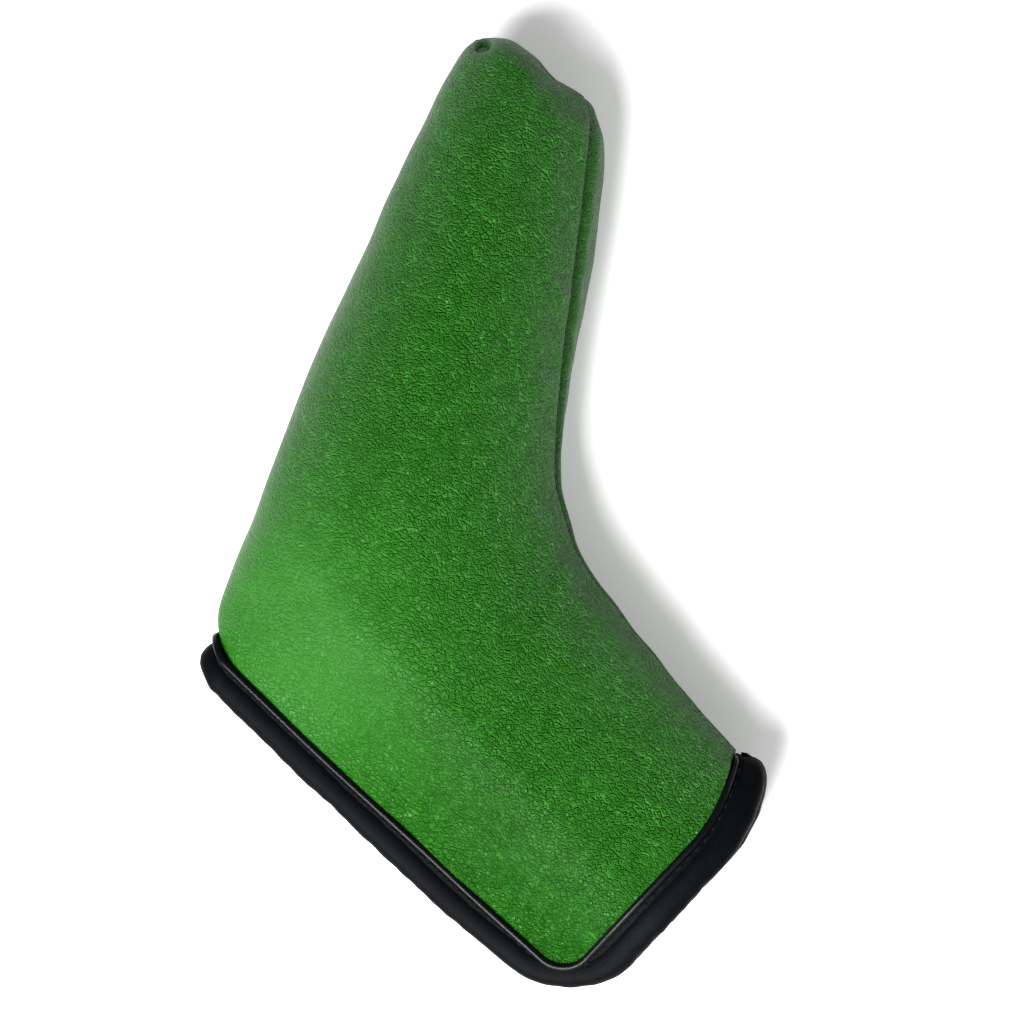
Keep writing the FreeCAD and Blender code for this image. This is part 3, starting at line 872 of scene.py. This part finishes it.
@dataclass
class LeatherPanel(SoftPart):
    """One outer panel, with its seam groove, creases and puckers."""

    thickness: float = 1.2
    cut_share: float = 0.97
    rows: int = 400
    columns: int = 150
    seam_depth: float = 1.5
    seam_width: float = 1.2
    toe_depth: float = 1.7
    floor_gap: float = 0.05
    toe_corner: tuple = (-137.6, 21.5)
    pinhole: tuple = (-138.6, 5.6)
    smooth_spot: tuple = (-8.0, 10.0)
    least_grain: float = 0.22

    def relief(self, points: Array) -> Array:
        """Everything that the sewing and the handling did to the smooth panel.

        The seam and the toe seam draw the panel in as a bell of the distance from them. A soft
        crease runs in from the inside bend, puckers fan out from the toe's corner, and slow
        waves cover the rest. Each is a height along the panel's normal.

        Args:
            points: the smooth panel.

        Returns:
            The panel with its relief.
        """
        down = np.gradient(points, axis=0)
        over = np.gradient(points, axis=1)
        normal = unit(np.cross(down, over))
        upright = normal[..., 2].mean() * self.side.facing
        normal = normal * (1.0 if upright > 0 else -1.0)
        from_seam = walk_along(points[:, ::-1].swapaxes(0, 1)).T[:, ::-1]
        from_toe = walk_along(points)
        x, y = points[..., 0], points[..., 1]

        offset = 0.28 * ripple(x, y, 46.0, seed=3) + 0.10 * ripple(x, y, 15.0, seed=8)
        offset *= ramp(from_seam, 0.0, 8.0) * ramp(from_toe, 0.0, 8.0)
        offset -= 0.5 * bump(from_seam - 4.2, 2.6) * (0.5 + 0.5 * ripple(x, y, 9.0, seed=5))
        if self.side is Side.FRONT:
            offset += self.bend_crease(x, y) + self.toe_puckers(x, y)
        points = points + normal * offset[..., None]

        inward = unit((points[:, :1] - points[:, -1:]) * np.array([1.0, 1.0, 0.0]))
        pull = self.seam_depth * bump(from_seam, self.seam_width)
        points = points + inward * pull[..., None]
        toe_pull = (self.toe_depth * bump(from_toe, self.seam_width)
                    * np.array([1.0, 0.15, 0.0])[:, None, None])
        points = points + np.moveaxis(toe_pull, 0, -1)
        if self.side is Side.BACK:
            points[..., 2] = np.maximum(points[..., 2], self.floor_gap - PATTERN.rest_depth)
        return points

    def bend_crease(self, x: Array, y: Array) -> Array:
        """A soft crease from the inside bend towards the middle of the panel."""
        start, end = np.array([-48.5, 62.5]), np.array([-24.0, 54.5])
        run = end - start
        length = np.linalg.norm(run)
        run = run / length
        along = ((x - start[0]) * run[0] + (y - start[1]) * run[1]) / length
        aside = (x - start[0]) * run[1] - (y - start[1]) * run[0] + 1.2 * np.sin(along * 3.0)
        fade = ramp(along, 0.0, 0.2) * (1.0 - ramp(along, 0.4, 1.1))
        return fade * (-0.45 * bump(aside, 1.5) + 0.5 * bump(aside - 3.6, 3.2))

    def toe_puckers(self, x: Array, y: Array) -> Array:
        """Short folds that fan out from the toe's corner, its notch, and the hole by the sole."""
        dx, dy = x - self.toe_corner[0], y - self.toe_corner[1]
        distance = np.hypot(dx, dy)
        heading = np.arctan2(dy, dx)
        folds = np.sin(heading * 13.0 + 0.6 * np.sin(distance * 0.35))
        notch = -0.5 * bump(distance, 2.4)
        hole = -4.2 * bump(np.hypot(x - self.pinhole[0], 0.8 * (y - self.pinhole[1])), 1.25)
        return notch + hole + 0.11 * folds * ramp(distance, 1.0, 4.0) * bump(distance, 11.0)

    def build(self, material: Material) -> Object:
        """The panel, finished in a leather."""
        station, across = station_grid(self.rows), across_grid(self.columns)
        outer, inner = (PATTERN.surface(station, across, self.side, sunk, self.cut_share)
                        for sunk in (0.0, self.thickness))
        outer = self.relief(outer)
        panel = self.shop.shell(f"{self.side.word}_leather_panel", outer, inner, material)
        from_heel = np.hypot(outer[..., 0] - self.smooth_spot[0], outer[..., 1] - self.smooth_spot[1])
        strength = self.least_grain + (1.0 - self.least_grain) * ramp(from_heel, 16.0, 62.0)
        grain = panel.data.attributes.new(GRAIN_STRENGTH, "FLOAT", "POINT")
        grain.data.foreach_set("value", np.tile(strength.reshape(-1), 2))
        return self.fit(panel, "green_leather", "outer_leather", f"{self.side.lip}_leather")


@dataclass(frozen=True)
class MagnetRow:
    """Where a lip's row of magnets lies, read from the frame, in the pattern's millimetres."""

    centre: Array
    half_thick: float
    half_length: float = 27.0
    half_width: float = 5.0
    cloth: float = 0.25

    @classmethod
    def read(cls, shop: Workshop, side: Side) -> "MagnetRow":
        """The row of one side."""
        low, high = (np.array(corner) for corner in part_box(f"{side.word}_closing_magnets"))
        return cls(((low + high) / 2 - shop.origin) / MM, (high - low)[2] / MM / 2)

    def place(self, u: Array, v: Array) -> Array:
        """Points at shares of the row's half length and half width from its middle."""
        plan = PATTERN.heel_point(u * self.half_length, v * self.half_width)
        return self.centre + np.concatenate([plan, np.zeros((*plan.shape[:-1], 1))], axis=-1)

    def cover(self, points: Array, side: Side, clear: float) -> Array:
        """Lays a surface over the row: beside it nothing changes, over it the surface sinks
        until it is clear of the pouch, with a smooth slope between.

        Args:
            points: the surface.
            side: which panel it belongs to.
            clear: how far it keeps from the pouch, in millimetres.

        Returns:
            The surface, laid over the pouch.
        """
        length, inward = PATTERN.heel_measures(points[..., :2] - self.centre[:2])
        beside = np.hypot(np.clip(np.abs(length) - self.half_length, 0.0, None),
                          np.clip(np.abs(inward) - self.half_width, 0.0, None))
        height = side.facing * points[..., 2]
        limit = side.facing * self.centre[2] - self.half_thick - self.cloth - clear
        over = np.clip(height - limit, 0.0, None) * (1.0 - ramp(beside, 0.5, 6.0))
        laid = points.copy()
        laid[..., 2] -= side.facing * over
        return laid


@dataclass
class InnerLayer(SoftPart):
    """A hidden layer of the wall: the foam or the plush lining."""

    name: str
    slot: str
    nodes: tuple
    outside: float
    inside: float
    over: MagnetRow | None = None
    rim_share: float = 0.55
    corner_share: float = 0.90
    rows: int = 200
    columns: int = 70

    def build(self, material: Material) -> Object:
        """The layer, in its finish."""
        station, across = station_grid(self.rows), across_grid(self.columns)
        past_corner = station[..., None] - PATTERN.corner_station
        at_rim = ramp(past_corner, 0.3, 1.4)
        faces = []
        for sunk in (self.outside, self.inside):
            face = sum(weight * PATTERN.surface(station, across, self.side, sunk, share)
                       for weight, share in ((1.0 - at_rim, self.corner_share), (at_rim, self.rim_share)))
            if self.over is not None:
                face = self.over.cover(face, self.side, 0.15 + sunk - self.outside)
            faces.append(face)
        layer = self.shop.shell(f"{self.side.word}_{self.name}", *faces, material)
        return self.fit(layer, self.slot, *self.nodes)


@dataclass
class MouthTrim(SoftPart):
    """The trim of one lip: padded binding, stitched groove and piping, from end to end."""

    steps: int = 420
    binding_share: float = 0.395
    groove_share: float = 0.745
    piping_share: float = 0.88
    piping_radius: float = 0.75
    end_clear: float = 0.9
    stitch_pitch: float = 2.6

    def path(self, share: float, steps: int, clear: float) -> tuple[Array, Array, Array]:
        """A line along the mouth, at a share of the trim's width from the rim.

        It climbs out of the sole's fold, where it flares inwards, runs up the heel edge, round a
        quarter circle, and along the shaft exit to the seam, where it sinks towards the parting
        plane.

        Args:
            share: 0 at the rim, 1 at the edge of the leather.
            steps: how many points the line has.
            clear: how far it stays from the sole's fold, in millimetres.

        Returns:
            The points, the outward direction in plan at each, and the surface's normal.
        """
        inset, top, radius = PATTERN.cut(share)
        lean = PATTERN.heel_lean
        foot = (clear + 0.1 - inset * math.cos(lean)) / math.sin(lean)
        width = PATTERN.throat_seam[-1][1]
        straight = top - radius - foot
        arc = radius * math.pi / 2
        past_piping = 0.6 * (self.piping_share - share) * PATTERN.exit_trim
        total = straight + arc + width - self.end_clear - inset - radius + past_piping
        even = np.linspace(0.0, 1.0, steps)
        run = (even - 0.05 * np.sin(2 * math.pi * even) / (2 * math.pi)) * total
        turn = np.clip((run - straight) / arc, 0.0, 1.0) * math.pi / 2
        level = foot + np.minimum(run, straight) + radius * np.sin(turn)
        inward = inset + radius * (1.0 - np.cos(turn)) + np.clip(run - straight - arc, 0.0, None)
        inward += PATTERN.hand_cut(level, share) * (1.0 - ramp(inward, 12.0, 40.0))
        fall, slope = PATTERN.droop(inward)
        length = level - fall
        turn = turn + np.arctan(slope)
        plan = PATTERN.heel_point(length, inward)
        plan[:, 0] -= PATTERN.flare(level - PATTERN.heel_foot(inset))

        far = PATTERN.depth[-1]
        across = inward / width
        angle = np.arccos(np.clip(2.0 * across - 1.0, -1.0, 1.0))
        climb = np.clip((level - foot) / PATTERN.rim_height, 0.0, 1.0)
        edge = PATTERN.rim_height * np.sqrt(1.0 - (1.0 - climb) ** 2)
        lip = PATTERN.mouth_profile(across, np.full_like(across, far), edge)
        height = np.where(across < 0.5, lip, far * np.sin(angle))
        height = height * (1.0 - 0.35 * ramp(run, total - 7.0, total))
        points = np.concatenate([plan, self.side.facing * height[:, None]], axis=-1)
        outward = np.stack([np.cos(turn) * math.sin(lean) + np.sin(turn) * math.cos(lean),
                            -np.cos(turn) * math.cos(lean) + np.sin(turn) * math.sin(lean),
                            np.zeros_like(turn)], axis=-1)
        tangent = unit(np.gradient(points, axis=0))
        normal = unit(np.cross(outward, tangent)) * self.side.facing
        return points, outward, normal

    def rings(self, share: float, half_width: Array, half_height: float, drop: float,
              around: int, power: float, taper: float = 1.0) -> Array:
        """A padded roll's rings: a rounded oval carried along the trim line.

        The oval's two sizes are multiplied by the cosine and the sine of the angle, each raised
        to the power, so a power under one squares it off.

        Args:
            share: where its middle runs.
            half_width, half_height: the oval's half sizes, the first along the run.
            drop: how far its middle is under the leather's surface.
            around: points on a ring.
            power: how square the oval is.
            taper: how far from the sole's fold the roll reaches its full size, in millimetres;
                from the shaft exit's end it takes two and a half times as far.

        Returns:
            The rings.
        """
        points, outward, normal = self.path(share, self.steps, self.end_clear)
        walk = walk_along(points)
        to_end = np.clip(np.minimum(walk, 0.4 * (walk[-1] - walk)) / taper, 0.0, 1.0)
        close = np.sqrt(np.maximum(1.0 - (1.0 - to_end) ** 2, 0.04))[:, None]
        turns = np.arange(around) * 2 * math.pi / around
        wide = np.sign(np.cos(turns)) * np.abs(np.cos(turns)) ** power
        high = np.sign(np.sin(turns)) * np.abs(np.sin(turns)) ** power
        sunk = drop * np.clip(np.abs(points[:, 2:]) / PATTERN.rim_height, 0.0, 1.0)
        centre = points - normal * sunk - outward * (1.0 - close) * half_width[:, None]
        return (centre[:, None, :] + outward[:, None, :] * (half_width[:, None] * close * wide)[..., None]
                + normal[:, None, :] * (half_height * close * high)[..., None])

    def roll(self, word: str, rings: Array, material: Material, *nodes: str) -> Object:
        """A roll of the trim, from its rings: its name's last words, finish and replaced nodes."""
        item = self.shop.roll(f"{self.side.word}_{word}", rings, material)
        return self.fit(item, "black_trim", *nodes)

    def stands_for(self, word: str) -> tuple[str, str, str]:
        """The frame's nodes for one kind of trim: the lip's and the two corners'."""
        return f"{self.side.lip}_{word}", f"heel_corner_{word}", f"exit_corner_{word}"

    def binding(self, material: Material) -> Object:
        """The padded binding, rolled over the edge of the wall."""
        share = np.linspace(0, 1, self.steps)
        half_width = 2.90 + 0.25 * ramp(share, 0.52, 0.66)
        along = share * 170.0
        for height, length, seed in ((0.10, 11.0, 21), (0.07, 5.0, 22)):
            half_width += height * ripple(along, along * 0.0, length, seed)
        rings = self.rings(self.binding_share, half_width, half_height=2.3, drop=1.85, around=28,
                           power=0.85, taper=3.0)
        return self.roll("binding", rings, material, *self.stands_for("binding"))

    def piping(self, material: Material) -> Object:
        """The thin corded piping between the binding and the leather."""
        radius = np.full(self.steps, self.piping_radius)
        rings = self.rings(self.piping_share, radius, self.piping_radius, drop=-0.15, around=12, power=1.0)
        return self.roll("piping", rings, material, *self.stands_for("piping"))

    def tape(self, material: Material) -> Object:
        """The flat tape at the bottom of the stitched groove, which joins piping and binding."""
        rings = self.rings(self.groove_share, np.full(self.steps, 1.6), half_height=0.35, drop=0.45,
                           around=10, power=0.7)
        return self.roll("groove_tape", rings, material)

    def stitching(self, material: Material) -> Object:
        """The row of stitches in the groove."""
        points, _, normal = self.path(self.groove_share, steps=2000, clear=0.6)
        walked = walk_along(points)
        marks = np.arange(self.stitch_pitch, walked[-1] - self.stitch_pitch, self.stitch_pitch)
        middle = read_at(marks, walked, points)
        along = unit(read_at(marks + 0.4, walked, points) - middle)
        up = unit(read_at(marks, walked, normal))
        row = self.shop.stitches(f"{self.side.word}_stitching", middle - up * 0.05, along, up,
                                 length=2.1, radius=0.24, material=material)
        return self.fit(row, "black_thread", *self.stands_for("stitching"))


@dataclass
class SeamStitching:
    """The sewn seam: small stitches across the groove from the toe round to the shaft exit."""

    shop: Workshop
    pitch: float = 3.2
    first: float = 1.2
    last: float = 12.9
    depth: float = 1.5

    def build(self, material: Material) -> Object:
        """The thread, in its finish, on the fixed part."""
        station = np.linspace(self.first, self.last, 900)[:, None]
        seam = PATTERN.surface(station, np.ones((1, 1)), Side.FRONT, sunk=self.depth)[:, 0]
        near = PATTERN.surface(station, np.full((1, 1), 0.5), Side.FRONT)[:, 0]
        walked = walk_along(seam)
        marks = np.arange(self.pitch, walked[-1] - 1.0, self.pitch)
        spots = read_at(marks, walked, seam)
        inward = unit(read_at(marks, walked, near - seam) * np.array([1.0, 1.0, 0.0]))
        across = np.tile([0.0, 0.0, 1.0], (len(spots), 1))
        row = self.shop.stitches("seam_stitching", spots, across, -inward, length=1.6, radius=0.22,
                                 material=material)
        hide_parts("seam_thread")
        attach(row, "root")
        return row


@dataclass
class MagnetPouch:
    """One lip's closing magnets, from the frame, in the sewn cloth pouch that holds them."""

    shop: Workshop
    side: Side

    def build(self, cloth: Material, metal: Material) -> Object:
        """The pouch, and the magnets' finish.

        The pouch is a flat pillow over its box in the frame: its height falls off to the seam
        allowance at its edge, and it is drawn in between the magnets.

        Args:
            cloth: the pouch's finish.
            metal: the magnets' finish.

        Returns:
            The pouch.
        """
        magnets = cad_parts[f"{self.side.word}_closing_magnets"]
        magnets.data.materials.clear()
        magnets.data.materials.append(metal)
        row = MagnetRow.read(self.shop, self.side)
        half_thick = row.half_thick + row.cloth
        u, v = np.meshgrid(np.linspace(-1, 1, 121), np.linspace(-1, 1, 41), indexing="ij")
        waist = 1.0 - 0.10 * (1.0 - np.cos(u * 3 * math.pi)) / 2
        rim = np.clip(1.0 - u**16, 0, 1) * np.clip(1.0 - v**8, 0, 1)
        height = row.cloth + (half_thick - row.cloth) * np.sqrt(rim)
        flat = row.place(u, v * waist)
        up = np.array([0.0, 0.0, 1.0])
        pouch = self.shop.shell(f"{self.side.word}_magnet_pouch_cloth", flat + up * height[..., None],
                                flat - up * height[..., None], cloth)
        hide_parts(f"{self.side.word}_magnet_pouch")
        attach(pouch, self.side.lip)
        return pouch


# --- Studio ---


@dataclass
class Studio:
    """The plain pale floor, the soft lights and the camera."""

    shop: Workshop
    centre: tuple = (-54.5, 47.0, 0.0)
    image_right: tuple = (-0.389, 0.921)
    lens: float = 120.0
    sensor: float = 36.0
    field: float = 206.0
    tilt: float = 9.0
    floor_reach: float = 6.0

    def axes(self) -> tuple[Array, Array, Array]:
        """The camera's right, up and backward directions, as unit vectors."""
        right = unit(np.array([*self.image_right, 0.0]))
        up = np.array([-right[1], right[0], 0.0])
        back = unit(np.array([0.0, 0.0, 1.0]) + right * math.tan(math.radians(self.tilt)))
        right = unit(np.cross(up, back))
        return right, np.cross(back, right), back

    def hold(self, name: str, data: bpy.types.ID, offset: Array, right: Array,
             back: Array) -> Object:
        """Holds a camera or a light in place.

        Args:
            name: its name.
            data: the camera or the light.
            offset: its place from the cover's middle, in metres.
            right, back: its own right and backward directions.

        Returns:
            The object.
        """
        item = bpy.data.objects.new(name, data)
        matrix = np.eye(4)
        matrix[:3, 0], matrix[:3, 1], matrix[:3, 2] = right, np.cross(back, right), back
        matrix[:3, 3] = self.shop.to_frame(np.array(self.centre)) + offset
        item.matrix_world = Matrix(matrix.tolist())
        bpy.context.scene.collection.objects.link(item)
        return item

    def camera(self) -> None:
        """A long lens looking down on the cover."""
        data = bpy.data.cameras.new("camera")
        data.lens, data.sensor_width = self.lens, self.sensor
        right, _, back = self.axes()
        distance = self.field * MM * self.lens / self.sensor
        bpy.context.scene.camera = self.hold("camera", data, back * distance, right, back)

    def softbox(self, name: str, place: tuple, size: float, power: float) -> None:
        """A square soft light aimed at the cover.

        Args:
            name: its name.
            place: where it is from the cover's middle: right, up and towards the camera, in metres.
            size: its side, in metres.
            power: its power, in watts.
        """
        right, up, back = self.axes()
        offset = right * place[0] + up * place[1] + back * place[2]
        data = bpy.data.lights.new(name, "AREA")
        data.shape, data.size, data.energy = "SQUARE", size, power
        toward = unit(offset)
        self.hold(name, data, offset, unit(np.cross(up, toward)), toward)

    def floor(self) -> None:
        """The floor, which shines a little so that it stays pale."""
        mesh = bpy.data.meshes.new("floor")
        reach = self.floor_reach
        mesh.from_pydata([(-reach, -reach, 0), (reach, -reach, 0), (reach, reach, 0), (-reach, reach, 0)],
                         [], [(0, 1, 2, 3)])
        material = bpy.data.materials.new("pale_floor")
        material.use_nodes = True
        shader = material.node_tree.nodes["Principled BSDF"].inputs
        shader["Base Color"].default_value = (0.93, 0.93, 0.93, 1.0)
        shader["Roughness"].default_value = 0.9
        shader["Emission Color"].default_value = (1.0, 1.0, 1.0, 1.0)
        shader["Emission Strength"].default_value = 0.30
        mesh.materials.append(material)
        floor = bpy.data.objects.new("floor", mesh)
        bpy.context.scene.collection.objects.link(floor)
        floor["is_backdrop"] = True

    def build(self) -> None:
        """Sets up the whole studio."""
        self.floor()
        world = bpy.data.worlds.new("studio")
        world.use_nodes = True
        background = world.node_tree.nodes["Background"].inputs
        background["Color"].default_value = (1.0, 1.0, 1.0, 1.0)
        background["Strength"].default_value = 0.17
        bpy.context.scene.world = world
        self.softbox("key", (-0.45, -0.52, 0.74), size=0.6, power=28.0)
        self.softbox("fill", (0.3, -0.8, 0.7), size=0.8, power=3.0)
        self.camera()
        bpy.context.scene.view_settings.view_transform = "Standard"


# --- Making ---


def heel_corner() -> Array:
    """The heel corner of the mouth, on the parting plane, in metres, read from the frame."""
    leather_low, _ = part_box("outer_leather")
    thread_low, thread_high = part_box("seam_thread")
    corner_low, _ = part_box("heel_corner_binding")
    return np.array([leather_low[0] + PATTERN.sole_length * MM, corner_low[1] + PATTERN.heel_overhang * MM,
                     (thread_low[2] + thread_high[2]) / 2])


def main() -> None:
    """Builds the cover and its studio."""
    logging.basicConfig(level=logging.INFO, format="%(name)s: %(message)s")
    frame_box = [list(corner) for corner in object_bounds()]
    shop = Workshop(heel_corner())
    hinge = Hinge(shop)
    finishes = Finishes()
    for side in Side:
        panel = LeatherPanel(shop, hinge, side).build(finishes.leather)
        lip = side.lip
        foam = InnerLayer(shop, hinge, side, "foam_sheet", "foam",
                          ("foam_padding", f"{lip}_foam"), outside=1.25, inside=3.55).build(finishes.foam)
        plush = InnerLayer(shop, hinge, side, "plush_sheet", "plush",
                           ("plush_lining", f"{lip}_lining"), outside=3.6, inside=4.9,
                           over=MagnetRow.read(shop, side)).build(finishes.plush)
        trim = MouthTrim(shop, hinge, side)
        binding = trim.binding(finishes.trim)
        sewn_on = [trim.piping(finishes.piping), trim.tape(finishes.trim),
                   trim.stitching(finishes.black_thread)]
        pouch = MagnetPouch(shop, side).build(finishes.pouch, finishes.nickel)
    SeamStitching(shop).build(finishes.green_thread)
    Studio(shop).build()
    visual_box = [list(corner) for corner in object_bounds()]
    for name, box in (("frame", frame_box), ("visual", visual_box)):
        log.info("%s box %s", name, [[round(value / MM, 1) for value in corner] for corner in box])


if __name__ == "__main__":
    main()
